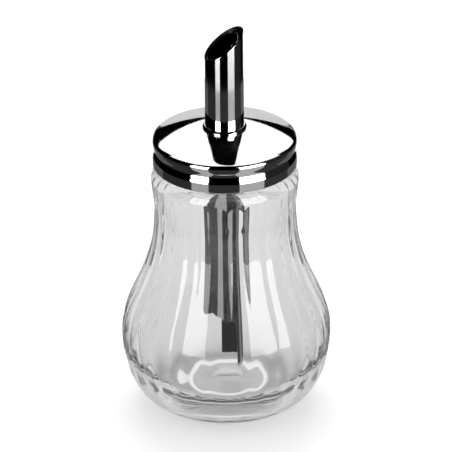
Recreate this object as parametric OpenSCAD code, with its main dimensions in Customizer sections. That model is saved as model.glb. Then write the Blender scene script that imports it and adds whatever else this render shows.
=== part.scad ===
// Sugar dispenser: a fluted glass jar with a steel screw lid. A tube runs down through the
// lid to the sugar, and a small flap closes the slanted mouth at its top.
// The origin is the centre of the jar's foot, +Z is up, and the tube's high tip points to +X.

/* [Jar] */
// Radius of the belly at its widest
belly_r = 40; // [34:0.5:48]
// Height of the widest point
belly_z = 30.4; // [26:0.2:36]
// Radius of the flat foot
foot_r = 19; // [16:0.5:22]
// How far the heel runs out flat before it turns up
heel_reach = 10.3; // [8:0.1:13]
// Roundness of the belly below its widest point
belly_drop = 22; // [16:0.5:24]
// Roundness of the belly above its widest point
belly_rise = 15.4; // [12:0.2:20]
// Radius of the waist below the lid
waist_r = 27.1; // [26.5:0.1:28]
// Height of the waist
waist_z = 82.5; // [78:0.5:86]
// Length of the easy curve that runs into the waist
waist_run = 29.3; // [22:0.5:34]
// Radius of the round shoulder that the lid sits over
shoulder_r = 28.2; // [27.8:0.1:29.5]
// Height at which the shoulder's curve meets the neck
shoulder_z = 99; // [96:0.2:100]
// Radius of the shoulder's curve
shoulder_round = 5; // [4:0.2:6]
// Thickness of the glass
wall = 3; // [2:0.1:4]
// Thickness of the jar's floor
floor_t = 7; // [5:0.5:9]
// Radius of the hollow pressed up under the foot
kick_r = 14.5; // [10:0.5:15]
// Depth of the hollow under the foot
kick_h = 1.6; // [0.8:0.1:3]

/* [Flutes] */
// Number of flutes round the jar
flutes = 28; // [20:4:36]
// How far the flutes flare past the shoulder, which sets how high their arched tops reach
flute_flare = 0.75; // [0.6:0.05:1.4]

/* [Neck] */
// Outer radius of the neck inside the lid
neck_r = 25.5; // [24.5:0.1:25.7]
// Thickness of the neck
neck_wall = 2.8; // [2:0.1:3.4]

/* [Lid] */
// Radius of the lid
lid_r = 27.6; // [27.4:0.1:29]
// Gap between the jar's shoulder and the lid's lower edge
lid_gap = 1.1; // [0.9:0.1:3]
// Height of the skirt
skirt_h = 11.5; // [10:0.5:14]
// Thickness of the steel sheet
sheet = 0.5; // [0.3:0.05:0.6]
// Radius of the dome's curve
dome_r = 85; // [60:1:140]
// Radius of the rolled corner between dome and skirt
corner_r = 1.3; // [1:0.1:2]
// Depth of the groove rolled round the skirt
groove_d = 0.8; // [0.3:0.1:1]
// Distance from the lid's corner down to the groove
groove_drop = 4.9; // [4.3:0.1:5.6]
// Height of the groove
groove_h = 5.6; // [4.8:0.2:6.4]
// Radius of the curl at the skirt's lower edge
curl_r = 0.6; // [0.4:0.05:0.7]

/* [Seal] */
// Thickness of the sealing ring
seal_t = 1.6; // [1:0.1:2]
// Width of the sealing ring
seal_w = 4; // [3.4:0.1:5]

/* [Pour tube] */
// Outer radius of the tube
tube_r = 7.5; // [7:0.1:9]
// Thickness of the tube's wall
tube_wall = 0.5; // [0.4:0.05:0.7]
// Height of the middle of the slanted mouth
mouth_z = 150.5; // [135:0.5:170]
// Slant of the mouth from level, in degrees
mouth_slope = 37; // [30:1:42]
// Height of the tube's lower end
tube_end_z = 14.5; // [11:0.5:20]
// Height of the notch's upper edge, where the sugar enters
notch_z = 38; // [30:0.5:50]
// How far the notch reaches past the tube's axis
notch_x = 1.5; // [-1:0.25:3]
// Radius of the notch's inner corner
notch_round = 7; // [3:0.5:8]
// Height of the collar on top of the lid
collar_h = 1.3; // [0.8:0.1:2.5]
// How far the collar stands out from the tube
collar_w = 0.9; // [0.6:0.1:2]
// Width of the rubber washer under the lid
washer_w = 3.6; // [2.5:0.1:5]
// Thickness of the rubber washer
washer_t = 1.2; // [0.8:0.1:1.6]
// Width of the nut across its flats
nut_af = 20; // [19:0.5:24]
// Height of the nut
nut_h = 3; // [2:0.5:4]

/* [Flap] */
// Thickness of the flap
flap_t = 0.8; // [0.6:0.05:1]
// Depth of the flap's face below the mouth's edge
flap_recess = 0.4; // [0.3:0.05:0.8]
// Distance of the hinge pin from the middle of the mouth, measured up the slope
hinge_shift = 4.3; // [3.8:0.1:4.6]
// Radius of the hinge pin
pin_r = 0.6; // [0.4:0.05:0.7]
// Thickness of the curl round the pin
knuckle_t = 0.5; // [0.4:0.05:0.6]
// Width of the ledge that the closed flap comes down on
ledge_w = 0.9; // [0.6:0.1:1.4]
// Thickness of that ledge
ledge_t = 0.7; // [0.5:0.1:1]

/* [Fits] */
// Gap between the flap and the tube round it
flap_gap = 0.3; // [0.25:0.05:0.4]
// Gap of the pin in the flap's curl
pin_fit = 0.06; // [0.03:0.01:0.09]
// Gap between faces that are brazed or pressed together
seat_gap = 0.03; // [0.01:0.01:0.06]
// Gap of the tube in the lid's hole
hole_gap = 0.1; // [0.05:0.05:0.2]
// Gap between the ledge and the closed flap
ledge_gap = 0.1; // [0.05:0.05:0.2]

/* [Hidden] */
$fn = 96;

// Steps along each curve of the jar's outline
curve_steps = 14;
// Slope of the heel where it leaves the foot
heel_slope = 4;
// Height over which the shoulder swells out of the waist, and its room outside the flutes
swell_h = 8;
swell_room = 0.1;
// Radius of the rim's corners
rim_round = 0.9;
// Centre of the shoulder's curve
shoulder_x = shoulder_r - shoulder_round;
shoulder_mid = shoulder_z - sqrt(pow(shoulder_round, 2) - pow(neck_r - shoulder_x, 2));

// Height of the lid's lower edge, and the lid's places from its corner's centre
lid_z = shoulder_z + lid_gap;
corner_z = lid_z + skirt_h - corner_r;
corner_x = lid_r - corner_r;
dome_slope = asin(corner_x / (dome_r - corner_r));
dome_z = corner_z - (dome_r - corner_r) * cos(dome_slope);
groove_z = lid_z + skirt_h - groove_drop;

// Height of the dome's outer or inner face at a distance from the axis
function dome_top(x) = dome_z + sqrt(dome_r * dome_r - x * x);
function dome_under(x) = dome_z + sqrt(pow(dome_r - sheet, 2) - x * x);

// The seal lies between the dome and the jar's rim
seal_r = corner_x - sheet;
seal_top = dome_under(seal_r) - seat_gap;
rim_z = seal_top - seal_t;

// The washer and the nut hold the tube under the dome
hole_r = tube_r + hole_gap;
washer_r = tube_r + seat_gap + washer_w;
washer_z = dome_under(washer_r) - seat_gap - washer_t;
nut_z = washer_z - nut_h;
collar_z = dome_top(hole_r) + seat_gap;
collar_r = tube_r + seat_gap + collar_w;

// The mouth's own frame: origin at its middle, X up the slope, Z out of it
bore_r = tube_r - tube_wall;
knuckle_r = pin_r + pin_fit + knuckle_t;
pin_depth = flap_recess + knuckle_r;
// How far the hinge reaches towards the wall, and the room that it has there
pin_x = hinge_shift * cos(mouth_slope) + pin_depth * sin(mouth_slope);
tail_reach = bore_r - flap_gap - pin_x;
knuckle_half = sqrt(pow(bore_r - flap_gap, 2) - pow(pin_x + knuckle_r, 2));
tail_long = sqrt(pow(tail_reach, 2) - pow(knuckle_r, 2));
// The flap is narrow where its sides would catch the wall as it swings
neck_back = knuckle_r * 2;
flap_long = bore_r / cos(mouth_slope) - 2 * flap_gap;
flap_wide = bore_r - flap_gap * 1.4;
tip_z = mouth_z + tube_r * tan(mouth_slope);

function bezier(p, t) = pow(1 - t, 3) * p[0] + 3 * pow(1 - t, 2) * t * p[1]
    + 3 * (1 - t) * t * t * p[2] + t * t * t * p[3];
function curve(p, steps = curve_steps) = [for (i = [1 : steps]) bezier(p, i / steps)];
function arc(c, r, from, to, steps = 6) =
    [for (i = [0 : steps]) let (a = from + (to - from) * i / steps) c + r * [cos(a), sin(a)]];
function reversed(list) = [for (i = [len(list) - 1 : -1 : 0]) list[i]];

// Outline of the jar from its foot to the waist, moved in by a thickness
function body_line(t, base) = concat(
    [[foot_r, base]],
    curve([[foot_r, base],
           [foot_r + heel_reach - t, base + heel_reach * tan(heel_slope)],
           [belly_r - t, belly_z - belly_drop + base],
           [belly_r - t, belly_z + base / 4]]),
    curve([[belly_r - t, belly_z + base / 4],
           [belly_r - t, belly_z + belly_rise],
           [waist_r - t, waist_z - waist_run],
           [waist_r - t, waist_z]]));

// Outline of one pair of flutes, which run out through the shoulder
function flute_line() = concat(body_line(0, 0), [[shoulder_r + flute_flare, shoulder_z + swell_room]]);

// Outline of the round jar, clear of the flutes below the waist
function round_line() = concat(
    [[0, -1], [belly_r + 1, -1], [belly_r + 1, belly_z + belly_rise], [waist_r + wall, waist_z - swell_h]],
    [for (i = [0 : 7]) let (r = waist_r + swell_room)
        [r + (shoulder_r - r) * (1 - cos(180 * i / 7)) / 2, waist_z + swell_h * i / 7]],
    arc([shoulder_x, shoulder_mid], shoulder_round, 0, 90, 12),
    [[0, shoulder_mid + shoulder_round]]);

// Outline of the neck and its rim
function neck_line() = concat(
    [[0, shoulder_z - swell_h], [neck_r, shoulder_z - swell_h]],
    arc([neck_r - rim_round, rim_z - rim_round], rim_round, 0, 90),
    [[0, rim_z]]);

// Outline of the space inside the jar
function hollow_line() = concat(
    [[0, floor_t]],
    body_line(wall, floor_t),
    curve([[waist_r - wall, waist_z],
           [waist_r - wall, waist_z + swell_h],
           [neck_r - neck_wall, shoulder_z - swell_h],
           [neck_r - neck_wall, shoulder_z]], 8),
    [[neck_r - neck_wall, rim_z - rim_round]],
    [[neck_r - neck_wall + rim_round / 2, rim_z + 1], [0, rim_z + 1]]);

// Radius of the skirt's outer face at a height
function skirt_r(z) = abs(z - groove_z) > groove_h / 2 ? lid_r
    : lid_r - groove_d * (1 + cos(360 * (z - groove_z) / groove_h)) / 2;

// The lid's face from the skirt's lower edge to the hole, moved in by a thickness
function lid_line(t) = concat(
    [[lid_r - t, lid_z + curl_r]],
    [for (i = [0 : 16]) let (z = groove_z + groove_h * (i / 16 - 0.5)) [skirt_r(z) - t, z]],
    arc([corner_x, corner_z], corner_r - t, 0, 90 - dome_slope, 5),
    [for (i = [1 : 10]) let (x = corner_x + (hole_r - corner_x) * i / 10)
        [x, dome_z + sqrt(pow(dome_r - t, 2) - x * x)]]);

module revolve(points) {
    rotate_extrude() polygon(points);
}

// A ring with a flat base
module ring(inner, outer, z, h) {
    translate([0, 0, z]) difference() {
        cylinder(r = outer, h = h);
        translate([0, 0, -1]) cylinder(r = inner, h = h + 2);
    }
}

// Puts what follows into the mouth's frame
module at_mouth() {
    translate([0, 0, mouth_z]) rotate([0, -mouth_slope, 0]) children();
}

// A bar along the hinge's axis
module hinge_bar(r, half) {
    at_mouth() translate([hinge_shift, 0, -pin_depth]) rotate([90, 0, 0])
        cylinder(r = r, h = 2 * half, center = true, $fn = 48);
}

// A slab with the jar's outline, whose two faces each make one side of a flute
module flute_slab() {
    side = [for (p = flute_line()) [p[0] * cos(360 / flutes), p[1]]];
    rotate([90, 0, 0]) linear_extrude(height = 2 * belly_r + 4, center = true)
        polygon(concat(side, [for (p = reversed(side)) [-p[0], p[1]]]));
}

// Two many-sided bodies, turned by half a side, leave a flute between each two of their corners.
// No ridge or valley lies in the plane through the tube's tip
module fluted_body() {
    for (turn = [90 / flutes, 450 / flutes]) rotate(turn)
        intersection_for(i = [0 : flutes / 4 - 1]) rotate(i * 720 / flutes) flute_slab();
}

module glass_jar() {
    color([0.86, 0.89, 0.89, 0.4]) difference() {
        union() {
            intersection() {
                fluted_body();
                revolve(round_line());
            }
            revolve(neck_line());
        }
        revolve(hollow_line());
        translate([0, 0, -1]) cylinder(r1 = kick_r + 0.6, r2 = kick_r - kick_h, h = kick_h + 1);
    }
}

module lid_cap() {
    color([0.78, 0.78, 0.79]) {
        revolve(concat(lid_line(0), reversed(lid_line(sheet))));
        rotate_extrude() translate([lid_r - curl_r, lid_z + curl_r]) circle(r = curl_r, $fn = 24);
    }
}

module lid_seal() {
    color([0.93, 0.93, 0.9]) ring(seal_r - seal_w, seal_r, rim_z, seal_t);
}

// The notch that lets the sugar into the tube's lower end, as seen from the side
module notch_shape() {
    low = tube_end_z - 1;
    out = -tube_r - 1;
    polygon(concat(
        [[out, low], [notch_x, low]],
        arc([notch_x - notch_round, notch_z - notch_round * 1.6], notch_round, 0, 60),
        [[-tube_r, notch_z], [out, notch_z]]));
}

module pour_tube() {
    color([0.74, 0.74, 0.75]) difference() {
        translate([0, 0, tube_end_z]) cylinder(r = tube_r, h = tip_z - tube_end_z);
        translate([0, 0, tube_end_z - 1]) cylinder(r = bore_r, h = tip_z - tube_end_z + 2);
        at_mouth() translate([-4 * tube_r, -2 * tube_r, 0]) cube([8 * tube_r, 4 * tube_r, 4 * tube_r]);
        rotate([90, 0, 0]) linear_extrude(height = 4 * tube_r, center = true) notch_shape();
        hinge_bar(pin_r + seat_gap, 2 * tube_r);
    }
}

module tube_collar() {
    side = tube_r + seat_gap;
    color([0.8, 0.8, 0.81]) revolve(concat(
        [[side, collar_z], [collar_r, collar_z]],
        arc([collar_r - collar_w * 0.6, collar_z + collar_h - collar_w * 0.6], collar_w * 0.6, 0, 90),
        [[side, collar_z + collar_h]]));
}

module tube_washer() {
    color([0.85, 0.85, 0.82]) ring(tube_r + seat_gap, washer_r, washer_z, washer_t);
}

module tube_nut() {
    color([0.7, 0.7, 0.7]) translate([0, 0, nut_z]) difference() {
        cylinder(d = nut_af / cos(30), h = nut_h, $fn = 6);
        translate([0, 0, -1]) cylinder(r = tube_r + seat_gap, h = nut_h + 2);
    }
}

// A part ring inside the tube, under the low half of the flap
module flap_ledge() {
    color([0.68, 0.68, 0.69]) intersection() {
        translate([0, 0, mouth_z - 4 * tube_r]) difference() {
            cylinder(r = bore_r - seat_gap, h = 8 * tube_r);
            translate([0, 0, -1]) cylinder(r = bore_r - ledge_w, h = 8 * tube_r + 2);
        }
        at_mouth() translate([-3 * tube_r, -2 * tube_r, -flap_recess - flap_t - ledge_gap - ledge_t])
            cube([3 * tube_r - bore_r * 0.4, 4 * tube_r, ledge_t]);
    }
}

// The flap's outline: an oval leaf, a narrow neck at the hinge and a short round tail
module flap_shape() {
    intersection() {
        scale([1, flap_wide / flap_long]) circle(r = flap_long);
        translate([-2 * flap_long, -flap_wide]) square([2 * flap_long + hinge_shift - neck_back, 2 * flap_wide]);
    }
    translate([hinge_shift - neck_back - 1, -knuckle_half]) square([neck_back + 1, 2 * knuckle_half]);
    translate([hinge_shift, 0]) scale([tail_long / knuckle_half, 1]) circle(r = knuckle_half);
}

module flap() {
    color([0.72, 0.72, 0.73]) difference() {
        union() {
            at_mouth() translate([0, 0, -flap_recess - flap_t])
                linear_extrude(height = flap_t) flap_shape();
            hinge_bar(knuckle_r, knuckle_half);
        }
        hinge_bar(pin_r + pin_fit, 2 * tube_r);
    }
}

module hinge_pin() {
    half = sqrt(pow(tube_r, 2) - pow(pin_x, 2));
    color([0.6, 0.6, 0.61]) hinge_bar(pin_r, half);
}

glass_jar();
lid_cap();
lid_seal();
pour_tube();
tube_collar();
tube_washer();
tube_nut();
flap_ledge();
flap();
hinge_pin();
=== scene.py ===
"""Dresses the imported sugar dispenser: a fluted glass jar, a steel lid with a pour tube, and its flap."""

import logging
import math
from dataclasses import dataclass, field
from enum import Enum
from typing import Callable, Sequence

import bmesh
import bpy
from mathutils import Matrix, Vector


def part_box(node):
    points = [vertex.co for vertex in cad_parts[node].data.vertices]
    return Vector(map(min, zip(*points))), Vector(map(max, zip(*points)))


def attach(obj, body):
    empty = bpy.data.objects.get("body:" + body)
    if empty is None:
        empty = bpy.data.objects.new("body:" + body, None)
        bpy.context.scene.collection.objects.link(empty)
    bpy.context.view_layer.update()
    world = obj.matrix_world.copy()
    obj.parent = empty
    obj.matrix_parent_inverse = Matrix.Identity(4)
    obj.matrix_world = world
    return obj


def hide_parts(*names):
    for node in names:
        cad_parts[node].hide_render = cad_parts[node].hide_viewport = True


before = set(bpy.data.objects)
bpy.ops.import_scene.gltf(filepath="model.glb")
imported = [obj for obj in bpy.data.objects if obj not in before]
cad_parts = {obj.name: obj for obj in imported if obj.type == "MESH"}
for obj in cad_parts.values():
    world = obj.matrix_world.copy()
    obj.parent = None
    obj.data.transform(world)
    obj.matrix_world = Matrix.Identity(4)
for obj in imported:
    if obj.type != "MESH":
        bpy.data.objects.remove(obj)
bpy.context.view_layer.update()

MM = 0.001
MERGE_DISTANCE = 2e-7
IMAGE_SIDE = 452
WHITE = (1, 1, 1, 1)

log = logging.getLogger("dispenser")

Point = tuple[float, float]
Colour = tuple[float, float, float]
Socket = bpy.types.NodeSocket


class Slot(Enum):
    """Material slot names, one carried by each finish."""

    GLASS = "clear_glass"
    POLISHED = "polished_steel"
    PLAIN = "plain_steel"
    SEAL = "seal"


def bezier(points: Sequence[Point], steps: int) -> list[Point]:
    """Points along a cubic curve, without its first.

    Args:
        points: The four control points.
        steps: The number of points made.

    Returns:
        The points from just after the start to the end.
    """
    (ax, ay), (bx, by), (cx, cy), (dx, dy) = points
    made = []
    for i in range(1, steps + 1):
        t = i / steps
        a, b, c, d = (1 - t) ** 3, 3 * (1 - t) ** 2 * t, 3 * (1 - t) * t * t, t**3
        made.append((a * ax + b * bx + c * cx + d * dx, a * ay + b * by + c * cy + d * dy))
    return made


def arc(centre: Point, radius: float, start: float, end: float, steps: int) -> list[Point]:
    """Points on a circular arc.

    Args:
        centre: The arc's centre.
        radius: Its radius.
        start: The angle of its first point, in degrees.
        end: The angle of its last point, in degrees.
        steps: The number of steps between them.

    Returns:
        The points, both ends included.
    """
    made = []
    for i in range(steps + 1):
        angle = math.radians(start + (end - start) * i / steps)
        made.append((centre[0] + radius * math.cos(angle), centre[1] + radius * math.sin(angle)))
    return made


def smooth_step(low: float, high: float, value: float) -> float:
    """A share from 0 at low to 1 at high, easy at both ends."""
    t = min(1.0, max(0.0, (value - low) / (high - low)))
    return t * t * (3 - 2 * t)


def radius_at(outline: Sequence[Point], z: float) -> float:
    """The radius of an outline that rises all the way, at a height.

    Args:
        outline: The outline's points, from the lowest up.
        z: The height.

    Returns:
        The radius there, held at the ends.
    """
    if z <= outline[0][1]:
        return outline[0][0]
    for (r0, z0), (r1, z1) in zip(outline, outline[1:]):
        if z <= z1:
            return r0 + (r1 - r0) * (z - z0) / max(z1 - z0, 1e-12)
    return outline[-1][0]


def spun(outline: Sequence[Point], steps: int, closed: bool, sectors: int = 12,
         shape: Callable[[bmesh.types.BMesh], None] | None = None) -> bmesh.types.BMesh:
    """A surface of revolution about the Z axis, spun as one sector and then repeated round the axis.

    Args:
        outline: Radius and height of each point of the outline.
        steps: The number of steps in each sector.
        closed: Whether the last point joins the first, as round a ring's section.
        sectors: The number of equal sectors.
        shape: What is done to the first sector before it is repeated.

    Returns:
        The mesh, with its doubles merged.
    """
    bm = bmesh.new()
    verts = [bm.verts.new((r, 0, z)) for r, z in outline]
    pairs = list(zip(verts, verts[1:]))
    if closed:
        pairs.append((verts[-1], verts[0]))
    edges = [bm.edges.new(pair) for pair in pairs]
    turn = 2 * math.pi / sectors
    bmesh.ops.spin(bm, geom=verts + edges, cent=(0, 0, 0), axis=(0, 0, 1), angle=turn, steps=steps)
    if shape:
        shape(bm)
    bmesh.ops.spin(bm, geom=bm.verts[:] + bm.edges[:] + bm.faces[:], cent=(0, 0, 0), axis=(0, 0, 1),
                   angle=turn * (sectors - 1), steps=sectors - 1, use_duplicate=True)
    bmesh.ops.remove_doubles(bm, verts=bm.verts, dist=MERGE_DISTANCE)
    bmesh.ops.dissolve_degenerate(bm, edges=bm.edges, dist=MERGE_DISTANCE)
    return bm


def prism(outline: Sequence[Point], low: float, high: float, edge: float) -> bmesh.types.BMesh:
    """A flat outline made into a plate, with its long edges rounded.

    Args:
        outline: X and Y of each corner, in order round the plate.
        low: Height of the under face.
        high: Height of the upper face.
        edge: Width of the rounded edge.

    Returns:
        The mesh.
    """
    bm = bmesh.new()
    face = bm.faces.new([bm.verts.new((x, y, low)) for x, y in outline])
    made = bmesh.ops.extrude_face_region(bm, geom=[face])
    top = [g for g in made["geom"] if isinstance(g, bmesh.types.BMVert)]
    bmesh.ops.translate(bm, verts=top, vec=(0, 0, high - low))
    rims = [e for e in bm.edges if abs(e.verts[0].co.z - e.verts[1].co.z) < MERGE_DISTANCE]
    bmesh.ops.bevel(bm, geom=rims, offset=edge, offset_type="OFFSET", segments=3, profile=0.5,
                    affect="EDGES", material=-1)
    flats = [f for f in bm.faces if abs(f.normal.z) > 0.999]
    bmesh.ops.inset_individual(bm, faces=flats, thickness=0.1 * MM, depth=0)
    return bm


def round_folds(bm: bmesh.types.BMesh, fold: float, edge: float) -> None:
    """Rounds the sharp edges of a mesh.

    Args:
        bm: The mesh.
        fold: Edges that fold more than this many degrees are rounded.
        edge: Width of the rounded edge.
    """
    folds = [e for e in bm.edges if len(e.link_faces) == 2 and e.calc_face_angle(0.0) > math.radians(fold)]
    bmesh.ops.bevel(bm, geom=folds, offset=edge, offset_type="OFFSET", segments=2, profile=0.5,
                    affect="EDGES", material=-1, clamp_overlap=True)


def widen(vert: bmesh.types.BMVert, factor: float) -> None:
    """Moves a point out from the Z axis by a factor, or in where it is under 1."""
    vert.co.x *= factor
    vert.co.y *= factor


def made_object(bm: bmesh.types.BMesh, name: str, sharp: float = 35.0) -> bpy.types.Object:
    """Turns a mesh in the making into a finished object at the origin.

    Args:
        bm: The mesh, which is freed.
        name: The piece's name.
        sharp: Edges that fold more than this many degrees stay sharp.

    Returns:
        The object, linked to the scene.
    """
    bmesh.ops.recalc_face_normals(bm, faces=bm.faces)
    mesh = bpy.data.meshes.new(name)
    bm.to_mesh(mesh)
    bm.free()
    mesh.polygons.foreach_set("use_smooth", [True] * len(mesh.polygons))
    mesh.set_sharp_from_angle(angle=math.radians(sharp))
    obj = bpy.data.objects.new(name, mesh)
    bpy.context.scene.collection.objects.link(obj)
    return obj


class NodeTree:
    """A small hand for laying out a shader tree."""

    def __init__(self, tree: bpy.types.NodeTree) -> None:
        """Starts on an empty tree."""
        self.tree = tree
        self.tree.nodes.clear()

    def add(self, kind: str, inputs: dict[str | int, object] | None = None,
            **settings: object) -> bpy.types.Node:
        """Adds a node.

        Args:
            kind: The node's type, without the ShaderNode prefix where it has one.
            inputs: Values or sockets for its inputs, by name or number.
            settings: Properties to set on the node.

        Returns:
            The node.
        """
        full = kind if kind.startswith("Node") else "ShaderNode" + kind
        node = self.tree.nodes.new(full)
        for name, value in settings.items():
            setattr(node, name, value)
        for name, value in (inputs or {}).items():
            if isinstance(value, Socket):
                self.tree.links.new(value, node.inputs[name])
            else:
                node.inputs[name].default_value = value
        return node

    def maths(self, operation: str, *values: object) -> Socket:
        """The result of an operation on values or sockets, in their order."""
        return self.add("Math", dict(enumerate(values)), operation=operation).outputs["Value"]

    def mixed(self, share: Socket, first: object, second: object) -> Socket:
        """The colour at a share of the way from the first to the second."""
        return self.add("Mix", {0: share, 6: first, 7: second}, data_type="RGBA").outputs[2]

    def between(self, share: Socket, low: object, high: object) -> Socket:
        """The value at a share of the way from low to high."""
        return self.add("MapRange", {"Value": share, "To Min": low, "To Max": high}).outputs["Result"]

    def mask(self, value: Socket, low: float, high: float) -> Socket:
        """A share from 0 where a value is low to 1 where it is high."""
        return self.add("MapRange", {"Value": value, "From Min": low, "From Max": high}).outputs["Result"]

    def noise(self, place: Socket, scale: Socket, detail: float, roughness: float = 0.5) -> Socket:
        """Soft noise over a surface."""
        return self.add("TexNoise", {"Vector": place, "Scale": scale, "Detail": detail,
                                     "Roughness": roughness}).outputs["Fac"]


def new_material(name: str) -> tuple[bpy.types.Material, NodeTree]:
    """Makes a material.

    Args:
        name: The material's name.

    Returns:
        The material and its tree, which is empty.
    """
    material = bpy.data.materials.new(name)
    material.use_nodes = True
    return material, NodeTree(material.node_tree)


class FineMarks:
    """The shared node group of small marks on a handled surface: smudges, fine scratches and slow waves."""

    NAME = "fine_marks"
    SMUDGED = (0.42, 0.72)
    SCRATCHED = (0.56, 0.66)
    SCRATCH_STRETCH = (1.0, 1.0, 0.12)

    @classmethod
    def group(cls) -> bpy.types.NodeTree:
        """The group, built the first time that it is asked for.

        Returns:
            The node group, with the masks Smudge and Scratch and the height Wave.
        """
        found = bpy.data.node_groups.get(cls.NAME)
        if found:
            return found
        group = bpy.data.node_groups.new(cls.NAME, "ShaderNodeTree")
        group.interface.new_socket("Vector", in_out="INPUT", socket_type="NodeSocketVector")
        for name in ("Smudge Scale", "Scratch Scale", "Wave Scale"):
            group.interface.new_socket(name, in_out="INPUT", socket_type="NodeSocketFloat")
        for name in ("Smudge", "Scratch", "Wave"):
            group.interface.new_socket(name, in_out="OUTPUT", socket_type="NodeSocketFloat")
        tree = NodeTree(group)
        source = tree.add("NodeGroupInput").outputs
        place = source["Vector"]
        stretch = tree.add("VectorMath", {0: place, 1: cls.SCRATCH_STRETCH}, operation="MULTIPLY")
        smudge = tree.noise(place, source["Smudge Scale"], 3.0, 0.55)
        scratch = tree.noise(stretch.outputs["Vector"], source["Scratch Scale"], 2.0)
        tree.add("NodeGroupOutput", {"Smudge": tree.mask(smudge, *cls.SMUDGED),
                                     "Scratch": tree.mask(scratch, *cls.SCRATCHED),
                                     "Wave": tree.noise(place, source["Wave Scale"], 1.0)})
        return group


@dataclass(frozen=True)
class Finish:
    """What every finish has: its look, clean and worn, its relief and the scales of its marks a metre."""

    name: str
    slot: Slot
    colour: Colour
    dull_colour: Colour
    roughness: float
    worn_roughness: float
    relief: float = 0.0
    relief_depth: float = 0.2 * MM
    smudge_scale: float = 60.0
    scratch_scale: float = 900.0
    wave_scale: float = 90.0

    def worn(self, tree: NodeTree, marks: bpy.types.Node) -> Socket:
        """The mask of where the surface is rougher: its smudges."""
        return marks.outputs["Smudge"]

    def shader_inputs(self, tree: NodeTree, place: Socket, look: dict[str, object]) -> dict[str, object]:
        """What the shader is given, which each kind of finish adds to.

        Args:
            tree: The material's tree.
            place: The place on the piece.
            look: The shader's inputs so far.

        Returns:
            All its inputs.
        """
        return look

    def build(self) -> bpy.types.Material:
        """Builds the material, which smudges dull, wear roughens and slow waves bend.

        Returns:
            The material.
        """
        material, tree = new_material(self.name)
        place = tree.add("TexCoord").outputs["Object"]
        marks = tree.add("Group", {"Vector": place, "Smudge Scale": self.smudge_scale,
                                   "Scratch Scale": self.scratch_scale, "Wave Scale": self.wave_scale},
                         node_tree=FineMarks.group())
        colour = tree.mixed(marks.outputs["Smudge"], (*self.colour, 1), (*self.dull_colour, 1))
        rough = tree.between(self.worn(tree, marks), self.roughness, self.worn_roughness)
        look = {"Base Color": colour, "Roughness": rough}
        if self.relief > 0:
            bump = tree.add("Bump", {"Height": marks.outputs["Wave"], "Strength": self.relief,
                                     "Distance": self.relief_depth})
            look["Normal"] = bump.outputs["Normal"]
        shader = tree.add("BsdfPrincipled", self.shader_inputs(tree, place, look))
        tree.add("OutputMaterial", {"Surface": shader.outputs["BSDF"]})
        return material

    def dress(self, obj: bpy.types.Object) -> None:
        """Gives a piece this finish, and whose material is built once.

        Args:
            obj: The piece.
        """
        obj.data.materials.clear()
        obj.data.materials.append(bpy.data.materials.get(self.name) or self.build())


@dataclass(frozen=True)
class Steel(Finish):
    """Stainless sheet or tube, polished or plain, which shines less where it is scratched."""

    colour: Colour = (0.80, 0.80, 0.805)
    dull_colour: Colour = (0.70, 0.70, 0.70)
    roughness: float = 0.04
    worn_roughness: float = 0.08
    relief: float = 0.006
    # Below this radius from the axis the steel is raw and rough, and its colour is painted shade, as dark as
    # deep in a bore.
    shaded_bore_r: float = 0.0
    bore_shade_colour: Colour = (0.03, 0.03, 0.03)
    bore_roughness: float = 0.45

    def worn(self, tree: NodeTree, marks: bpy.types.Node) -> Socket:
        """The mask of where the surface is rougher: its smudges and scratches."""
        return tree.maths("MAXIMUM", marks.outputs["Smudge"], marks.outputs["Scratch"])

    def shader_inputs(self, tree: NodeTree, place: Socket, look: dict[str, object]) -> dict[str, object]:
        """Makes the shader a metal that is raw and rougher within the bore, where the piece has one, and
        painted dark there as shade.

        Args:
            tree: The material's tree.
            place: The place on the piece.
            look: The shader's inputs so far.

        Returns:
            All its inputs.
        """
        metal = {**look, "Metallic": 1.0}
        if self.shaded_bore_r > 0:
            flat = tree.add("VectorMath", {0: place, 1: (1, 1, 0)}, operation="MULTIPLY")
            reach = tree.add("VectorMath", {0: flat.outputs["Vector"]}, operation="LENGTH")
            # Painted shade: the bore's inner face is darkened, as if no light reached into the tube.
            bore = tree.maths("LESS_THAN", reach.outputs["Value"], self.shaded_bore_r)
            metal["Base Color"] = tree.mixed(bore, look["Base Color"], (*self.bore_shade_colour, 1))
            metal["Roughness"] = tree.between(bore, look["Roughness"], self.bore_roughness)
        return metal


@dataclass(frozen=True)
class PressedGlass(Finish):
    """Clear pressed glass with the slow waves of its mould, barely dulled where it has been handled."""

    colour: Colour = (0.925, 0.93, 0.928)
    dull_colour: Colour = (0.91, 0.916, 0.914)
    roughness: float = 0.0
    worn_roughness: float = 0.02
    relief: float = 0.12
    relief_depth: float = 0.4 * MM
    index: float = 1.5

    def shader_inputs(self, tree: NodeTree, place: Socket, look: dict[str, object]) -> dict[str, object]:
        """Makes the shader clear glass."""
        return {**look, "Metallic": 0.0, "IOR": self.index, "Transmission Weight": 1.0}


@dataclass(frozen=True)
class SoftSeal(Finish):
    """White food-grade silicone, matt and a little darker where it is pressed."""

    colour: Colour = (0.86, 0.86, 0.83)
    dull_colour: Colour = (0.78, 0.77, 0.73)
    roughness: float = 0.45
    worn_roughness: float = 0.6

    def worn(self, tree: NodeTree, marks: bpy.types.Node) -> Socket:
        """The mask of where the surface is rougher: its scratches."""
        return marks.outputs["Scratch"]


GLASS = PressedGlass("pressed_glass", Slot.GLASS, smudge_scale=35, wave_scale=60)
LID_STEEL = Steel("lid_steel", Slot.POLISHED, smudge_scale=70)
FLAP_STEEL = Steel("flap_steel", Slot.POLISHED, smudge_scale=110, scratch_scale=1400)
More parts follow.
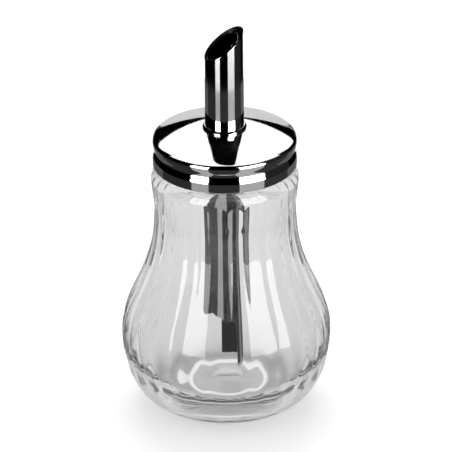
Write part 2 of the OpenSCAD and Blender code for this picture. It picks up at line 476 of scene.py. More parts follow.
# The tube's bore is darkened with painted shade.
TUBE_STEEL = Steel("tube_steel", Slot.POLISHED, smudge_scale=110, scratch_scale=1400, shaded_bore_r=7.2 * MM)
PLAIN_STEEL = Steel("plain_steel", Slot.PLAIN, colour=(0.62, 0.62, 0.63), dull_colour=(0.5, 0.5, 0.5),
                    roughness=0.25, worn_roughness=0.4)
SEAL_RUBBER = SoftSeal("seal_rubber", Slot.SEAL)


def fit(piece: bpy.types.Object, finish: Finish, node: str, body: str) -> bpy.types.Object:
    """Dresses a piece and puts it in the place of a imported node.

    Args:
        piece: The piece.
        finish: Its finish.
        node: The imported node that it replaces.
        body: The body that it rides on.

    Returns:
        The piece.
    """
    finish.dress(piece)
    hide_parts(node)
    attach(piece, body)
    return piece


@dataclass
class FlutedJar:
    """The glass jar: a fluted body, a round shoulder and a threaded neck, one closed wall of glass.

    The depths of the flutes are shares of the radius, and flute_ridge is the share of a flute's half width at
    which its ridge starts. Points within flute_skin of the outer face are pressed in with it.
    """

    low: Vector = field(default_factory=lambda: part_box("glass_jar")[0])
    high: Vector = field(default_factory=lambda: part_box("glass_jar")[1])
    flutes: int = 28
    steps_a_flute: int = 14
    flute_depth: float = 0.006
    waist_flute_depth: float = 0.012
    flute_ridge: float = 0.6
    flute_fade: tuple[float, float] = (4 * MM, 24 * MM)
    flute_skin: float = 1.2 * MM
    foot_r: float = 19 * MM
    heel_reach: float = 10.3 * MM
    heel_rise: float = 0.72 * MM
    belly_z: float = 30.4 * MM
    belly_drop: float = 22 * MM
    belly_rise: float = 15.4 * MM
    waist_r: float = 27.1 * MM
    waist_z: float = 82.5 * MM
    waist_run: float = 29.3 * MM
    shoulder_r: float = 28.2 * MM
    shoulder_z: float = 99 * MM
    shoulder_round: float = 5 * MM
    swell: float = 8 * MM
    flare: float = 0.75 * MM
    wall: float = 3 * MM
    floor: float = 7 * MM
    kick_r: float = 14.5 * MM
    kick_h: float = 1.6 * MM
    kick_edge: float = 0.6 * MM
    neck_r: float = 25.5 * MM
    neck_wall: float = 2.8 * MM
    rim_round: float = 0.9 * MM
    thread_low: float = 101.2 * MM
    thread_pitch: float = 3.6 * MM
    thread_turns: float = 1.1
    thread_run_out: float = 0.07
    thread_height: float = 0.5 * MM
    thread_width: float = 0.8 * MM
    slack: float = 0.1 * MM

    @property
    def belly_r(self) -> float:
        """Radius of the belly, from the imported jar."""
        return (self.high.x - self.low.x) / 2

    @property
    def rim_z(self) -> float:
        """Height of the rim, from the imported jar."""
        return self.high.z

    @property
    def shoulder_centre(self) -> Point:
        """Centre of the shoulder's curve, which meets the neck at the shoulder's height."""
        x = self.shoulder_r - self.shoulder_round
        return x, self.shoulder_z - math.sqrt(self.shoulder_round**2 - (self.neck_r - x) ** 2)

    def body_line(self, inset: float, base: float) -> list[Point]:
        """The outline from the foot or the floor up to the waist.

        Args:
            inset: Distance inside the outer face.
            base: Height that the outline starts at.

        Returns:
            The points, from the lowest up.
        """
        belly_r, waist_r = self.belly_r - inset, self.waist_r - inset
        start = (self.foot_r, base)
        belly = (belly_r, self.belly_z + base / 4)
        lower = bezier([start, (self.foot_r + self.heel_reach - inset, base + self.heel_rise),
                        (belly_r, self.belly_z - self.belly_drop + base), belly], steps=30)
        upper = bezier([belly, (belly_r, self.belly_z + self.belly_rise),
                        (waist_r, self.waist_z - self.waist_run), (waist_r, self.waist_z)], steps=34)
        return [start] + lower + upper

    def ridge_line(self) -> list[Point]:
        """The outline of the flutes' ridges, which flare out through the shoulder."""
        return self.body_line(0, 0) + [(self.shoulder_r + self.flare, self.shoulder_z)]

    def round_line(self) -> list[Point]:
        """The outline of the round jar from the waist to where the shoulder meets the neck.

        Returns:
            The points, from the lowest up.
        """
        made = []
        for i in range(13):
            share = (1 - math.cos(math.pi * i / 12)) / 2
            made.append((self.waist_r + (self.shoulder_r - self.waist_r) * share,
                         self.waist_z + self.swell * i / 12))
        x, z = self.shoulder_centre
        land = z - self.waist_z - self.swell
        for i in range(1, 12):
            made.append((self.shoulder_r, self.waist_z + self.swell + land * i / 12))
        reach = math.degrees(math.acos((self.neck_r - x) / self.shoulder_round))
        return made + arc((x, z), self.shoulder_round, 0, reach, steps=14)

    def neck_line(self) -> list[Point]:
        """The neck's outline from the shoulder up over the rim and down to the inner face.

        Returns:
            The points, in that order.
        """
        edge, z = self.rim_round, self.rim_z - self.rim_round
        rise = z - self.shoulder_z
        side = [(self.neck_r, self.shoulder_z + rise * i / 40) for i in range(1, 41)]
        outer = arc((self.neck_r - edge, z), edge, 0, 90, steps=6)
        inner = arc((self.neck_r - self.neck_wall + edge, z), edge, 90, 180, steps=6)
        return side + outer[1:] + inner

    def hollow_line(self) -> list[Point]:
        """The outline of the space inside, from the neck down to the middle of the floor.

        Returns:
            The points, from the highest down.
        """
        waist, neck = self.waist_r - self.wall, self.neck_r - self.neck_wall
        rise = bezier([(waist, self.waist_z), (waist, self.waist_z + self.swell),
                       (neck, self.shoulder_z - self.swell), (neck, self.shoulder_z)], steps=12)
        return (self.body_line(self.wall, self.floor) + rise)[::-1] + [(0, self.floor)]

    def foot_line(self) -> list[Point]:
        """The outline under the jar, from the middle of the smooth kick out to the foot."""
        kick = [(self.kick_r * i / 24, self.kick_h * math.cos(math.pi * i / 48) ** 2) for i in range(24)]
        return kick + [(self.kick_r + self.kick_edge, 0)]

    def flute_shape(self, angle: float) -> float:
        """How deep the flutes are at an angle round the jar, as a share.

        Args:
            angle: The angle about the axis, in radians.

        Returns:
            0 on a ridge and 1 in the middle of a flute, with the ridges rounded.
        """
        turn = (angle / (2 * math.pi) * self.flutes) % 1.0
        off = abs(2 * turn - 1)
        knee = self.flute_ridge
        if off <= knee:
            return (knee - off * off) / knee
        return (1 - off) ** 2 / (1 - knee)

    def press_flute(self, bm: bmesh.types.BMesh) -> None:
        """Presses one flute into a sector of the round outer face.

        Args:
            bm: The sector, whose outer points are moved towards the axis.
        """
        ridges = self.ridge_line()
        round_outline = self.round_line()
        for vert in bm.verts:
            r, z = math.hypot(vert.co.x, vert.co.y), vert.co.z
            ridge = radius_at(ridges, z)
            outer = ridge if z <= self.waist_z else radius_at(round_outline, z)
            inside = r < max(self.foot_r, outer - self.flute_skin) - self.slack
            if inside or z > self.shoulder_z - 2 * self.slack:
                continue
            high = smooth_step(self.belly_z, self.waist_z, z)
            depth = self.flute_depth + (self.waist_flute_depth - self.flute_depth) * high
            depth *= smooth_step(*self.flute_fade, z)
            cut = 1 - depth * self.flute_shape(math.atan2(vert.co.y, vert.co.x))
            fluted = min(r, ridge * cut) if z > self.waist_z else r * cut
            widen(vert, fluted / r)

    def raise_thread(self, bm: bmesh.types.BMesh) -> None:
        """Raises the screw thread on the neck.

        Args:
            bm: The whole jar.
        """
        for vert in bm.verts:
            r, z = math.hypot(vert.co.x, vert.co.y), vert.co.z
            if r > self.neck_r - self.slack and self.shoulder_z < z < self.rim_z - self.rim_round:
                widen(vert, 1 + self.thread(math.atan2(vert.co.y, vert.co.x), z) / r)

    def thread(self, angle: float, z: float) -> float:
        """The height of the thread at a place on the neck.

        Args:
            angle: The angle about the axis, in radians.
            z: The height.

        Returns:
            How far the thread stands out there.
        """
        first = angle / (2 * math.pi) + 0.5
        best = 0.0
        for whole in range(math.ceil(self.thread_turns) + 1):
            along = first + whole
            left = self.thread_turns - along
            if left < 0:
                break
            ends = smooth_step(0, self.thread_run_out, along) * smooth_step(0, self.thread_run_out, left)
            off = abs(z - self.thread_low - self.thread_pitch * along) / self.thread_width
            best = max(best, ends * math.exp(-off * off))
        return self.thread_height * best

    def build(self) -> list[bpy.types.Object]:
        """Builds the jar as one closed wall and dresses it.

        Returns:
            The piece.
        """
        outline = (self.foot_line() + self.body_line(0, 0) + self.round_line()[1:] + self.neck_line()
                   + self.hollow_line())
        bm = spun(outline, self.steps_a_flute, closed=False, sectors=self.flutes, shape=self.press_flute)
        self.raise_thread(bm)
        return [fit(made_object(bm, "fluted_jar", sharp=50), GLASS, "glass_jar", "jar")]


@dataclass
class ScrewLid:
    """The domed sheet-steel lid with its rolled skirt, and the seal inside it.

    The groove is groove_height high about a middle that lies groove_drop below the skirt's top, and
    seal_edge is a share of the seal's thickness.
    """

    low: Vector = field(default_factory=lambda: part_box("lid_cap")[0])
    high: Vector = field(default_factory=lambda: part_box("lid_cap")[1])
    skirt: float = 11.5 * MM
    sheet: float = 0.5 * MM
    dome_r: float = 85 * MM
    corner_r: float = 1.3 * MM
    groove_depth: float = 0.8 * MM
    groove_drop: float = 4.9 * MM
    groove_height: float = 5.6 * MM
    curl_r: float = 0.6 * MM
    hole_r: float = 7.6 * MM
    seal_width: float = 4 * MM
    seal_edge: float = 0.3
    steps: int = 12

    @property
    def radius(self) -> float:
        """Radius of the lid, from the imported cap."""
        return (self.high.x - self.low.x) / 2

    @property
    def corner(self) -> Point:
        """Centre of the rolled corner between dome and skirt."""
        return self.radius - self.corner_r, self.low.z + self.skirt - self.corner_r

    @property
    def dome_slope(self) -> float:
        """Slope of the dome where it meets the corner, in degrees."""
        return math.degrees(math.asin(self.corner[0] / (self.dome_r - self.corner_r)))

    def dome_height(self, x: float, inset: float) -> float:
        """Height of the dome's face at a distance from the axis."""
        centre = self.corner[1] - (self.dome_r - self.corner_r) * math.cos(math.radians(self.dome_slope))
        return centre + math.sqrt((self.dome_r - inset) ** 2 - x * x)

    def skirt_radius(self, z: float) -> float:
        """The skirt's outer face, with the rolled groove.

        Args:
            z: The height.

        Returns:
            The radius there.
        """
        middle = self.low.z + self.skirt - self.groove_drop
        share = (z - middle) / self.groove_height
        if abs(share) > 0.5:
            return self.radius
        return self.radius - self.groove_depth * (1 + math.cos(2 * math.pi * share)) / 2

    def face_line(self, inset: float) -> list[Point]:
        """The lid's face from the skirt's curl up and over to the hole.

        Args:
            inset: Distance inside the outer face.

        Returns:
            The points, from the lowest.
        """
        start, end = self.low.z + self.curl_r * 1.4, self.corner[1]
        side = [start + (end - start) * i / 40 for i in range(40)]
        made = [(self.skirt_radius(z) - inset, z) for z in side]
        made += arc(self.corner, self.corner_r - inset, 0, 90 - self.dome_slope, steps=10)
        for i in range(1, 31):
            x = self.corner[0] + (self.hole_r - self.corner[0]) * i / 30
            made.append((x, self.dome_height(x, inset)))
        return made

    def cap(self) -> bpy.types.Object:
        """The sheet-steel cap, from its curled lower edge over the dome to the tube's hole.

        Returns:
            The piece.
        """
        curl = arc((self.radius - self.curl_r, self.low.z + self.curl_r), self.curl_r, -190, 20, steps=20)
        outline = curl[:-1] + self.face_line(0) + self.face_line(self.sheet)[::-1]
        bm = spun(outline, self.steps, closed=True, sectors=24)
        return fit(made_object(bm, "steel_cap", sharp=40), LID_STEEL, "lid_cap", "lid")

    def seal(self) -> bpy.types.Object:
        """The ring that seals the lid on the jar's rim, with its corners rounded.

        Returns:
            The piece.
        """
        low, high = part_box("lid_seal")
        edge = (high.z - low.z) * self.seal_edge
        outer, inner = high.x - edge, high.x - self.seal_width + edge
        top, bottom = high.z - edge, low.z + edge
        outline = []
        for i, centre in enumerate(((outer, top), (inner, top), (inner, bottom), (outer, bottom))):
            outline += arc(centre, edge, 90 * i, 90 * (i + 1), steps=5)
        bm = spun(outline, self.steps, closed=True)
        return fit(made_object(bm, "sealing_ring", sharp=60), SEAL_RUBBER, "lid_seal", "seal")

    def build(self) -> list[bpy.types.Object]:
        """Builds and dresses the cap and its seal.

        Returns:
            The pieces.
        """
        return [self.cap(), self.seal()]


@dataclass
class PourTube:
    """The tube with its slanted mouth and its notched lower end, and what holds it in the lid.

    The notch runs from the low side to notch_x, up to notch_z. collar_edge is a share of the collar's width,
    collar_waist of its height and washer_edge of the washer's, and collar_taper is an angle in degrees.
    """

    low: Vector = field(default_factory=lambda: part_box("pour_tube")[0])
    high: Vector = field(default_factory=lambda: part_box("pour_tube")[1])
    wall: float = 0.5 * MM
    rim_edge: float = 0.05 * MM
    slope: float = 37.0
    notch_z: float = 38 * MM
    notch_x: float = 1.5 * MM
    notch_round: float = 7 * MM
    collar_edge: float = 0.2
    collar_waist: float = 0.3
    collar_taper: float = 37.0
    collar_foot: float = 0.1 * MM
    washer_edge: float = 0.45
    loose_fit: float = 0.03 * MM
    nut_edge: float = 0.25 * MM
    nut_skin: float = 0.1 * MM
    steps: int = 20
    rings: int = 40

    @property
    def radius(self) -> float:
        """Outer radius of the tube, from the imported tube."""
        return (self.high.x - self.low.x) / 2

    @property
    def mouth_z(self) -> float:
        """Height of the middle of the mouth."""
        return self.high.z - self.radius * math.tan(math.radians(self.slope))

    def top_at(self, x: float) -> float:
        """Height of the slanted mouth at a place across the tube."""
        return self.mouth_z + x * math.tan(math.radians(self.slope))

    def bottom_at(self, x: float) -> float:
        """The lower end, with the notch in its low side.

        Args:
            x: The place across the tube.

        Returns:
            The height of the lower end there.
        """
        off = x - (self.notch_x - self.notch_round)
        if x > self.notch_x:
            return self.low.z
        if off <= 0:
            return self.notch_z
        return self.notch_z - self.notch_round + math.sqrt(max(0.0, self.notch_round**2 - off * off))

    def pipe(self) -> bpy.types.Object:
        """The tube itself, with short rings at its ends that keep its long faces straight in mirrors.

        Returns:
            The piece.
        """
        shares = [0, 0.001] + [i / self.rings for i in range(1, self.rings)] + [0.999, 1]
        outer_side = [(self.radius, share) for share in shares]
        inner_side = [(self.radius - self.wall, share) for share in shares[::-1]]
        bm = spun(outer_side + inner_side, self.steps, closed=True, sectors=16)
        for vert in bm.verts:
            low, high = self.bottom_at(vert.co.x), self.top_at(vert.co.x)
            vert.co.z = low + (high - low) * vert.co.z
        round_folds(bm, fold=50, edge=self.rim_edge)
        return fit(made_object(bm, "steel_tube", sharp=40), TUBE_STEEL, "pour_tube", "lid")

    def collar(self) -> bpy.types.Object:
        """The small collar that sits on the dome, with a conical top.

        Returns:
            The piece.
        """
        low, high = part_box("tube_collar")
        inner, outer = self.radius, high.x
        edge = (outer - inner) * self.collar_edge
        waist = low.z + (high.z - low.z) * self.collar_waist
        outline = [(inner, low.z), (outer - self.collar_foot, low.z), (outer, low.z + self.collar_foot)]
        outline += arc((outer - edge, waist), edge, 0, self.collar_taper, steps=4)
        outline += arc((inner + edge, high.z - edge), edge, self.collar_taper, 90, steps=4)
        bm = spun(outline + [(inner, high.z)], steps=16, closed=True)
        return fit(made_object(bm, "collar_ring", sharp=50), TUBE_STEEL, "tube_collar", "lid")

    def washer(self) -> bpy.types.Object:
        """The rubber washer under the dome, bulged a little by the nut.

        Returns:
            The piece.
        """
        low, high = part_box("tube_washer")
        inner = self.radius + self.loose_fit
        edge = (high.z - low.z) * self.washer_edge
        bulge = arc((high.x - edge, (low.z + high.z) / 2), edge, -90, 90, steps=8)
        bm = spun([(inner, low.z)] + bulge + [(inner, high.z)], steps=12, closed=True)
        return fit(made_object(bm, "rubber_washer", sharp=60), SEAL_RUBBER, "tube_washer", "washer")

    def nut(self) -> bpy.types.Object:
        """The six-sided nut under the washer, its corners chamfered.

        Returns:
            The piece.
        """
        low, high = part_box("tube_nut")
        inner, corner = self.radius + self.loose_fit, (high.x - low.x) / 2
        section = [(inner, low.z), (corner, low.z), (corner, high.z), (inner, high.z)]
        bm = spun(section, steps=8, closed=True)
        for vert in bm.verts:
            if math.hypot(vert.co.x, vert.co.y) > corner - self.nut_skin:
                turn = math.degrees(math.atan2(vert.co.y, vert.co.x)) % 60 - 30
                widen(vert, math.cos(math.radians(30)) / math.cos(math.radians(turn)))
        round_folds(bm, fold=30, edge=self.nut_edge)
        return fit(made_object(bm, "hex_nut", sharp=35), PLAIN_STEEL, "tube_nut", "lid")

    def build(self) -> list[bpy.types.Object]:
        """Builds and dresses the tube and its fittings.

        Returns:
            The pieces.
        """
        return [self.pipe(), self.collar(), self.washer(), self.nut()]


@dataclass
class MouthFlap:
    """The flap in the slanted mouth, with its curl, its pin and the ledge that it comes down on."""

    tube: PourTube
    thick: float = 0.8 * MM
    leaf_edge: float = 0.06 * MM
    recess: float = 0.4 * MM
    hinge_shift: float = 4.3 * MM
    pin_r: float = 0.6 * MM
    pin_fit: float = 0.06 * MM
    pin_short: float = 0.6 * MM
    bar_edge: float = 0.25 * MM
    curl: float = 0.5 * MM
    gap: float = 0.3 * MM

    @property
    def knuckle_r(self) -> float:
        """Outer radius of the curl round the pin."""
        return self.pin_r + self.pin_fit + self.curl

    @property
    def pin_depth(self) -> float:
        """Depth of the pin below the mouth's plane."""
        return self.recess + self.knuckle_r

    @property
    def pin_x(self) -> float:
        """Distance of the pin from the tube's axis."""
        slope = math.radians(self.tube.slope)
        return self.hinge_shift * math.cos(slope) + self.pin_depth * math.sin(slope)

    @property
    def bore(self) -> float:
        """Radius of the tube's bore."""
        return self.tube.radius - self.tube.wall

    @property
    def knuckle_half(self) -> float:
        """Half the length of the curl, which has to clear the bore."""
        return math.sqrt((self.bore - self.gap) ** 2 - (self.pin_x + self.knuckle_r) ** 2)

    def at_mouth(self) -> Matrix:
        """The mouth's own frame: its middle, with X up the slope and Z out of it."""
        turn = Matrix.Rotation(-math.radians(self.tube.slope), 4, "Y")
        return Matrix.Translation((0, 0, self.tube.mouth_z)) @ turn

    def leaf_line(self) -> list[Point]:
        """The flap's outline: an oval leaf, a narrow neck at the hinge and a short round tail.

        Returns:
            The points, in order round the flap.
        """
        long = self.bore / math.cos(math.radians(self.tube.slope)) - 2 * self.gap
        wide = self.bore - self.gap * 1.4
        back = self.hinge_shift - 2 * self.knuckle_r
        tail = math.sqrt((self.bore - self.gap - self.pin_x) ** 2 - self.knuckle_r**2)
        half = self.knuckle_half
        stop = math.degrees(math.acos(back / long))
        leaf = [(long * x, wide * y) for x, y in arc((0, 0), 1, stop, 360 - stop, steps=120)]
        end = [(self.hinge_shift + tail * x, half * y) for x, y in arc((0, 0), 1, -90, 90, steps=40)]
        return leaf + [(back, -half)] + end + [(back, half)]

    def bar(self, radius: float, half: float, inner: float = 0.0) -> bmesh.types.BMesh:
        """A bar or a pipe along the hinge's axis, with rounded ends.

        Args:
            radius: Its outer radius.
            half: Half its length.
            inner: The radius of its bore, or 0 for a solid bar.

        Returns:
            The mesh, in the mouth's place.
        """
        edge = min(self.bar_edge, (radius - inner) * 0.4)
        outline = [(inner, -half)] + arc((radius - edge, -half + edge), edge, -90, 0, steps=4)
        outline += arc((radius - edge, half - edge), edge, 0, 90, steps=4) + [(inner, half)]
        bm = spun(outline, steps=5, closed=inner > 0)
        place = self.at_mouth() @ Matrix.Translation((self.hinge_shift, 0, -self.pin_depth))
        bmesh.ops.transform(bm, matrix=place @ Matrix.Rotation(math.pi / 2, 4, "X"), verts=bm.verts)
        return bm

    def flap(self) -> bpy.types.Object:
        """The leaf and the curl that holds it on the pin, as one piece.

        Returns:
            The piece.
        """
        bm = prism(self.leaf_line(), -self.recess - self.thick, -self.recess, self.leaf_edge)
        bmesh.ops.transform(bm, matrix=self.at_mouth(), verts=bm.verts)
        curl = self.bar(self.knuckle_r, self.knuckle_half, self.pin_r + self.pin_fit)
        spare = bpy.data.meshes.new("spare")
        curl.to_mesh(spare)
        bm.from_mesh(spare)
        curl.free()
        bpy.data.meshes.remove(spare)
        return fit(made_object(bm, "oval_flap", sharp=35), FLAP_STEEL, "flap", "flap")

    def pin(self) -> bpy.types.Object:
        """The pin across the tube, which ends inside its wall.

        Returns:
            The piece.
        """
        half = math.sqrt(self.tube.radius**2 - self.pin_x**2) - self.pin_short
        bm = self.bar(self.pin_r, half)
        return fit(made_object(bm, "rivet_pin", sharp=50), PLAIN_STEEL, "hinge_pin", "lid")

    def build(self) -> list[bpy.types.Object]:
        """Builds and dresses the flap and its pin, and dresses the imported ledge.

        Returns:
            The pieces.
        """
        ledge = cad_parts["flap_ledge"]
        PLAIN_STEEL.dress(ledge)
        return [self.flap(), self.pin(), ledge]


class Seen(Enum):
    """What a card shows in, as a test of how many glass faces its mirror image has come through."""

    IN_STEEL = ("LESS_THAN", 0.5)
    IN_GLASS = ("GREATER_THAN", 0.5)
    THROUGH_JAR = ("GREATER_THAN", 3.5)


@dataclass(frozen=True)
class Card:
    """A curved card round the object, out of the camera's sight, that shows only where it is mirrored.

    Its ends are azimuths from the camera's side, in degrees, positive to the camera's right. Its two edges
    are each a radius and a height, and the upper edge may rise to another height at the far end. It shows
    in steel in the open, in the glass's own inner faces or in steel inside the jar, and clear glass looks
    past it.
    """

    name: str
    start: float
    end: float
    edge: Point
    other_edge: Point
    shade: float
    end_height: float | None = None
    seen: Seen = Seen.IN_STEEL


@dataclass
class Studio:
    """A pale floor, one soft lamp, cards out of view and the camera at the photograph's angle.

    Azimuths are in degrees from the camera's side, and the camera's own is from the object's front.
    camera_glow makes the floor white to the camera, mirror_share is how much of that glow steel and glass
    show, and under_light is the strength of a painted glow on the floor under the jar, seen only through
    glass, which stands in for the light that the glass lets through. world_light is the share of the white
    room that falls on matt surfaces, and world_in_glass the share that is seen through glass. The standing
    cards are at ring, with two bright windows between them, and the aprons lie on the floor from near out to
    them.
    """

    azimuth: float = -14.5
    elevation: float = 26.2
    roll: float = -0.5
    pixels_a_metre: float = 2598.0
    distance: float = 6.0
    sensor: float = 36.0
    base_pixel: tuple[float, float] = (226.9, 396.6)
    floor_size: float = 6.0
    floor_colour: Colour = (0.88, 0.88, 0.88)
    camera_glow: float = 0.45
    mirror_share: float = 0.3
    under_light: float = 0.3
    under_r: float = 28 * MM
    world_light: float = 0.62
    world_in_glass: float = 0.7
    card_steps: int = 24
    card_lift: float = 0.5 * MM
    near: float = 0.06
    ring: float = 0.285
    ring_top: float = 0.70
    left_window: tuple[float, float] = (-52, -25)
    right_window: tuple[float, float] = (22, 62)
    window_low: float = 0.02
    window_shade: float = 6.0
    far: float = 0.70
    backdrop: float = 0.75
    backdrop_top: float = 0.28
    ceiling: float = 1.2
    inner_foot: float = 0.028
    inner_reach: float = 0.3
    room: float = 2.0
    room_height: float = 1.1
    room_shade: float = 0.6
    lamp_azimuth: float = 180
    lamp_elevation: float = 50
    lamp_distance: float = 1.2
    lamp_side: float = 0.9
    lamp_power: float = 5
    lamp_aim: float = 0.07

    def flat_card(self, name: str, start: float, end: float, shade: float) -> Card:
        """A card that lies on the floor, from near the jar out to the standing ring."""
        return Card(name, start, end, (self.near, self.card_lift), (self.ring, self.card_lift), shade)

    def standing_cards(self) -> list[Card]:
        """The ring of standing cards with their aprons on the floor, and the two bright windows in it.

        Returns:
            The cards.
        """
        left, right = self.left_window, self.right_window
        made = [self.flat_card("apron_back", 150, 210, 0.22)]
        for name, start, end, height, shade, apron in (
                ("front", left[1], right[0], self.ring_top, 0.0, 0.035),
                ("white_left", *left, self.window_low, 1.1, 0.45),
                ("white_right", *right, self.window_low, 1.0, 0.5),
                ("left", -112, left[0], 0.45, 0.0, 0.03),
                ("right", right[1], 114, 0.45, 0.02, 0.04),
                ("left_back", -150, -112, 0.40, 0.0, 0.10),
                ("right_back", 114, 150, 0.40, 0.0, 0.12)):
            made.append(Card("card_" + name, start, end, (self.ring, 0), (self.ring, height), shade))
            made.append(self.flat_card("apron_" + name, start, end, apron))
        for side, window, top in (("left", left, 0.33), ("right", right, 0.36)):
            made.append(Card("softbox_" + side, *window, (self.ring, self.window_low), (self.ring, top),
                             self.window_shade))
            made.append(Card("card_over_" + side, *window, (self.ring, top), (self.ring, self.ring_top), 0.0))
        return made

    def far_cards(self) -> list[Card]:
        """What the dome mirrors: dark horizons that rise to the back, backdrops, a softbox and a ceiling.

        Returns:
            The cards.
        """
        made = [Card("card_horizon_left", 182, 220, (self.far, 0.262), (self.far, 0.285), 0.0, 0.70),
                Card("card_horizon_right", 178, 140, (self.far, 0.275), (self.far, 0.29), 0.0, 0.60),
                Card("softbox_over", 135, 225, (0.8, self.backdrop_top), (0.8, 2.0), 1.4),
                Card("card_ceiling", -140, 140, (0.0, self.ceiling), (2.0, self.ceiling), 0.0),
                Card("card_ceiling_back", 140, 220, (0.0, self.ceiling), (0.48, self.ceiling), 0.0)]
        for name, start, end, shade in (("", 167, 193, 0.75), ("_left", 193, 250, 0.10),
                                        ("_right", 110, 167, 0.10)):
            made.append(Card("card_backdrop" + name, start, end, (self.backdrop, 0),
                             (self.backdrop, self.backdrop_top), shade))
        return made

    def inner_cards(self) -> list[Card]:
        """What shows only through the jar: cards on the floor for the steel in it, and a room for its glass.

        Returns:
            The cards.
        """
        foot, reach = (self.inner_foot, 2 * self.card_lift), (self.inner_reach, 2 * self.card_lift)
        made = []
        for name, start, end, shade in (("left", -140, -60, 0.05), ("front", -60, 8, 0.5),
                                        ("leg", 8, 75, 0.01), ("gap", 75, 106, 0.25),
                                        ("right", 106, 140, 0.03)):
            made.append(Card("inner_" + name, start, end, foot, reach, shade, seen=Seen.THROUGH_JAR))
        wall, corner = (self.room, 0), (self.room, self.room_height)
        made.append(Card("inner_ceiling", -180, 180, (0, self.room_height), corner, self.room_shade,
                         seen=Seen.IN_GLASS))
        made.append(Card("inner_walls", -180, 180, wall, corner, self.room_shade, seen=Seen.IN_GLASS))
        return made

    def direction(self, azimuth: float, elevation: float) -> Vector:
        """The direction from the object at an azimuth from the camera's side and an elevation, in degrees."""
        a, e = math.radians(self.azimuth + azimuth), math.radians(elevation)
        return Vector((math.sin(a) * math.cos(e), -math.cos(a) * math.cos(e), math.sin(e)))

    def camera(self) -> None:
        """Places the camera so that the jar's foot falls on its own pixel."""
        data = bpy.data.cameras.new("camera")
        data.sensor_width = self.sensor
        data.lens = self.sensor * self.distance * self.pixels_a_metre / IMAGE_SIDE
        data.clip_start, data.clip_end = 0.05, 50
        camera = bpy.data.objects.new("camera", data)
        bpy.context.scene.collection.objects.link(camera)
        back = self.direction(0, self.elevation)
        roll = Matrix.Rotation(math.radians(self.roll), 3, "Z").to_quaternion()
        turn = (-back).to_track_quat("-Z", "Y") @ roll
        right, up = turn @ Vector((1, 0, 0)), turn @ Vector((0, 1, 0))
        off_x = (IMAGE_SIDE / 2 - self.base_pixel[0]) / self.pixels_a_metre
        off_y = (self.base_pixel[1] - IMAGE_SIDE / 2) / self.pixels_a_metre
        camera.rotation_mode = "QUATERNION"
        camera.rotation_quaternion = turn
        camera.location = right * off_x + up * off_y + back * self.distance
        bpy.context.scene.camera = camera

    def shown(self, tree: NodeTree) -> Socket:
        """How much of the white background a ray sees: the camera all of it, steel and glass a share.

        Args:
            tree: The tree that needs it.

        Returns:
            The socket with the share.
        """
        rays = tree.add("LightPath").outputs
        mirrored = tree.maths("MAXIMUM", rays["Is Glossy Ray"], rays["Is Transmission Ray"])
        share = tree.maths("MULTIPLY", mirrored, self.mirror_share)
        return tree.maths("MAXIMUM", rays["Is Camera Ray"], share)

    def world(self) -> None:
        """Lights the room evenly and shows white behind the object, also in glass and steel."""
        world = bpy.data.worlds.new("room")
        bpy.context.scene.world = world
        world.use_nodes = True
        tree = NodeTree(world.node_tree)
        rays = tree.add("LightPath").outputs
        plain = tree.maths("MULTIPLY_ADD", rays["Is Diffuse Ray"], self.world_light - 1, 1.0)
        strength = tree.maths("MULTIPLY_ADD", rays["Is Transmission Ray"], self.world_in_glass - 1, plain)
        light = tree.add("Background", {"Color": WHITE, "Strength": strength})
        tree.add("OutputWorld", {"Surface": light.outputs["Background"]})

    def floor(self) -> None:
        """Lays the pale floor, which keeps the object's shadow and has a painted glow under the clear glass,
        seen only through it.
        """
        bm = bmesh.new()
        bmesh.ops.create_grid(bm, x_segments=1, y_segments=1, size=self.floor_size)
        floor = made_object(bm, "floor")
        material, tree = new_material("pale_floor")
        matt = tree.add("BsdfDiffuse", {"Color": (*self.floor_colour, 1)})
        reach = tree.add("VectorMath", {0: tree.add("TexCoord").outputs["Object"]}, operation="LENGTH")
        # Painted light: a glow on the floor under the jar, seen only through the glass, stands in for the
        # light that the glass lets through.
        under = tree.add("MapRange", {"Value": reach.outputs["Value"], "From Min": self.under_r,
                                      "From Max": self.under_r / 2, "To Max": self.under_light},
                         interpolation_type="SMOOTHSTEP").outputs["Result"]
        through = tree.maths("MULTIPLY", tree.add("LightPath").outputs["Is Transmission Ray"], under)
        strength = tree.maths("MULTIPLY_ADD", self.shown(tree), self.camera_glow, through)
        glow = tree.add("Emission", {"Color": WHITE, "Strength": strength})
        both = tree.add("AddShader", {0: matt.outputs["BSDF"], 1: glow.outputs["Emission"]})
        tree.add("OutputMaterial", {"Surface": both.outputs["Shader"]})
        floor.data.materials.append(material)

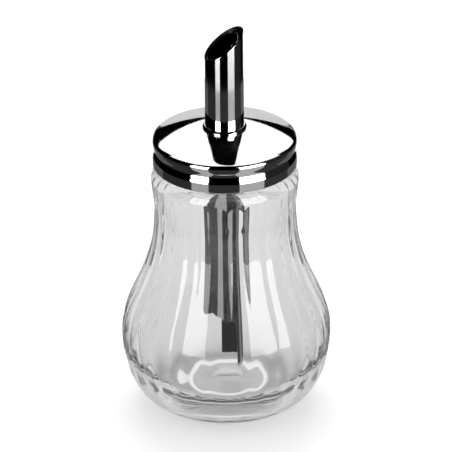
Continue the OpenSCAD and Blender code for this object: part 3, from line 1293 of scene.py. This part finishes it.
    def stand(self, card: Card) -> None:
        """Makes a card and puts it in its place.

        Args:
            card: The card.
        """
        bm = bmesh.new()
        side = self.direction(card.start, 0)
        verts = [bm.verts.new((side.x * r, side.y * r, z)) for r, z in (card.edge, card.other_edge)]
        edge = bm.edges.new(verts)
        turn = math.radians(card.end - card.start)
        bmesh.ops.spin(bm, geom=verts + [edge], cent=(0, 0, 0), axis=(0, 0, 1), angle=turn,
                       steps=self.card_steps)
        if card.end_height is not None:
            top = card.other_edge[1]
            for vert in [v for v in bm.verts if v.co.z > top - MERGE_DISTANCE]:
                share = side.angle(Vector((vert.co.x, vert.co.y, 0))) / abs(turn)
                vert.co.z = top + (card.end_height - top) * share
        bmesh.ops.remove_doubles(bm, verts=bm.verts, dist=MERGE_DISTANCE)
        obj = made_object(bm, card.name)
        material, tree = new_material(card.name)
        rays = tree.add("LightPath").outputs
        mirrored = tree.maths("GREATER_THAN", rays["Glossy Depth"], 0.5)
        test, faces = card.seen.value
        in_place = tree.maths(test, rays["Transmission Depth"], faces)
        shows = tree.maths("MULTIPLY", mirrored, in_place)
        glow = tree.add("Emission", {"Color": WHITE, "Strength": card.shade})
        nothing = tree.add("BsdfTransparent")
        both = tree.add("MixShader", {0: shows, 1: nothing.outputs["BSDF"], 2: glow.outputs["Emission"]})
        tree.add("OutputMaterial", {"Surface": both.outputs["Shader"]})
        obj.data.materials.append(material)
        obj.visible_camera = obj.visible_diffuse = obj.visible_shadow = False

    def lamp(self) -> None:
        """Hangs a soft square lamp that faces the object and shows in no mirror."""
        data = bpy.data.lights.new("overhead", "AREA")
        data.shape, data.size, data.energy = "SQUARE", self.lamp_side, self.lamp_power
        lamp = bpy.data.objects.new("overhead", data)
        bpy.context.scene.collection.objects.link(lamp)
        lamp.visible_glossy = lamp.visible_transmission = False
        back = self.direction(self.lamp_azimuth, self.lamp_elevation)
        lamp.location = back * self.lamp_distance + Vector((0, 0, self.lamp_aim))
        lamp.rotation_mode = "QUATERNION"
        lamp.rotation_quaternion = (-back).to_track_quat("-Z", "Y")

    def build(self) -> None:
        """Sets up the whole studio, with enough bounces for light that the thick glass turns back often."""
        bpy.context.scene.view_settings.view_transform = "Standard"
        paths = bpy.context.scene.cycles
        paths.max_bounces, paths.glossy_bounces, paths.transmission_bounces = 40, 30, 30
        paths.transparent_max_bounces = 60
        self.camera()
        self.world()
        self.floor()
        for card in self.standing_cards() + self.far_cards() + self.inner_cards():
            self.stand(card)
        self.lamp()


def main() -> None:
    """Builds the studio and the pieces in order, and reports each."""
    logging.basicConfig(level=logging.INFO, format="%(name)s: %(message)s")
    Studio().build()
    tube = PourTube()
    for part in (FlutedJar(), ScrewLid(), tube, MouthFlap(tube)):
        for piece in part.build():
            log.info("%s: %d faces", piece.name, len(piece.data.polygons))


if __name__ == "__main__":
    main()
